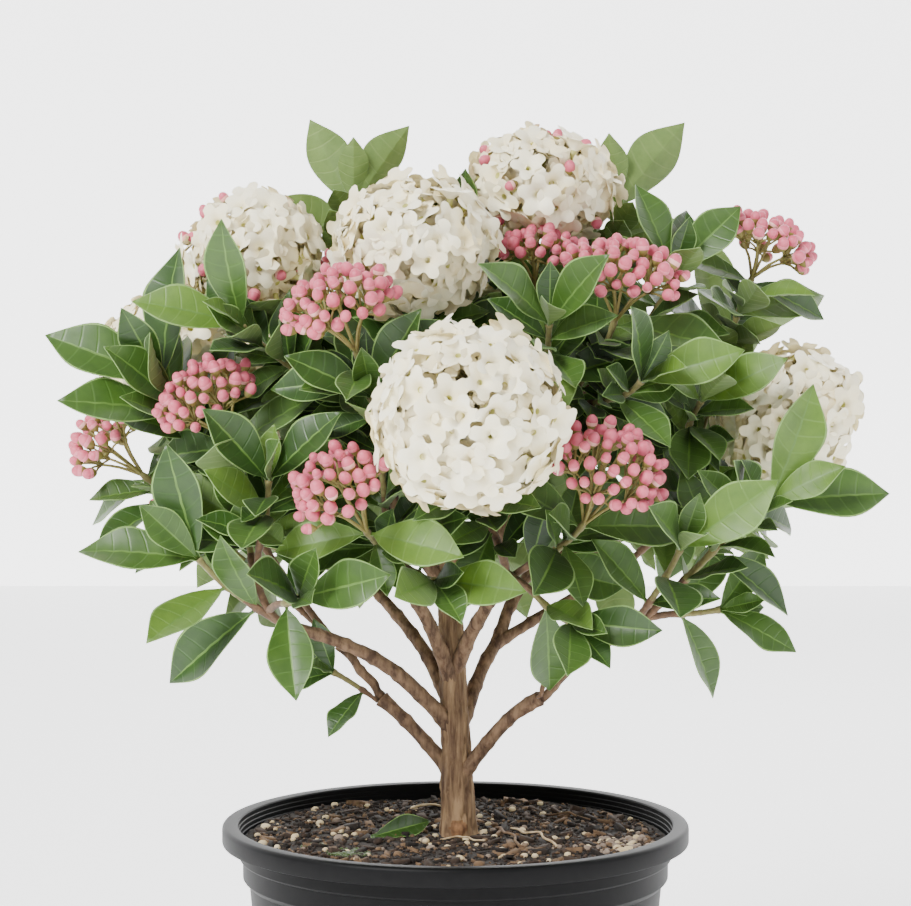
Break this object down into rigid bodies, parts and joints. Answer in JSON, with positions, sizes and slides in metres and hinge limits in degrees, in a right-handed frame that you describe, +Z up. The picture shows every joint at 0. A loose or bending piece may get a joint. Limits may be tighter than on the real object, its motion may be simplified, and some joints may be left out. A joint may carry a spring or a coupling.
{
  "type": "potted flowering shrub",
  "caption": "Spring-flowering shrub with a short trunk, open branching, oval leaves, white flower balls and pink bud clusters, in a plain black nursery pot.",
  "frame": {"origin": "centre of the pot's flat underside", "axes": "+Z up along the pot's axis; the plant's front faces -Y, with +X on its right as it is looked at"},
  "size_m": [0.3349, 0.2731, 0.4385],
  "materials": {
    "pot": "satin black moulded plastic",
    "soil": "dark bark and peat mix",
    "bark": "rough fissured bark",
    "foliage": "matt green leaves with white and pink blossom"
  },
  "bodies": {
    "root": {"pot": "pot", "soil": "soil", "trunk": "bark", "bough_left_low": "bark", "bough_left_low_outer": "bark", "bough_left_mid": "bark", "bough_left_up": "bark", "bough_right_low": "bark", "bough_right_low_outer": "bark", "bough_right_fork": "bark", "bough_right_up": "bark", "bough_right_outer": "bark", "bough_back_left": "bark", "bough_back": "bark", "bough_upper_left": "bark", "bough_upper_right": "bark", "bough_top_right": "bark", "bough_upper_back": "bark", "foliage_front": "foliage", "foliage_front_left": "foliage", "foliage_left_front": "foliage", "foliage_upper_left": "foliage", "foliage_top": "foliage", "foliage_top_right": "foliage", "foliage_upper_right": "foliage", "foliage_right": "foliage", "foliage_right_low": "foliage", "foliage_right_low_sprig": "foliage", "foliage_left_low_sprig": "foliage", "foliage_left_low": "foliage", "foliage_back_left": "foliage", "foliage_back": "foliage", "foliage_back_right": "foliage", "foliage_upper_back": "foliage"}
  },
  "joints": []
}
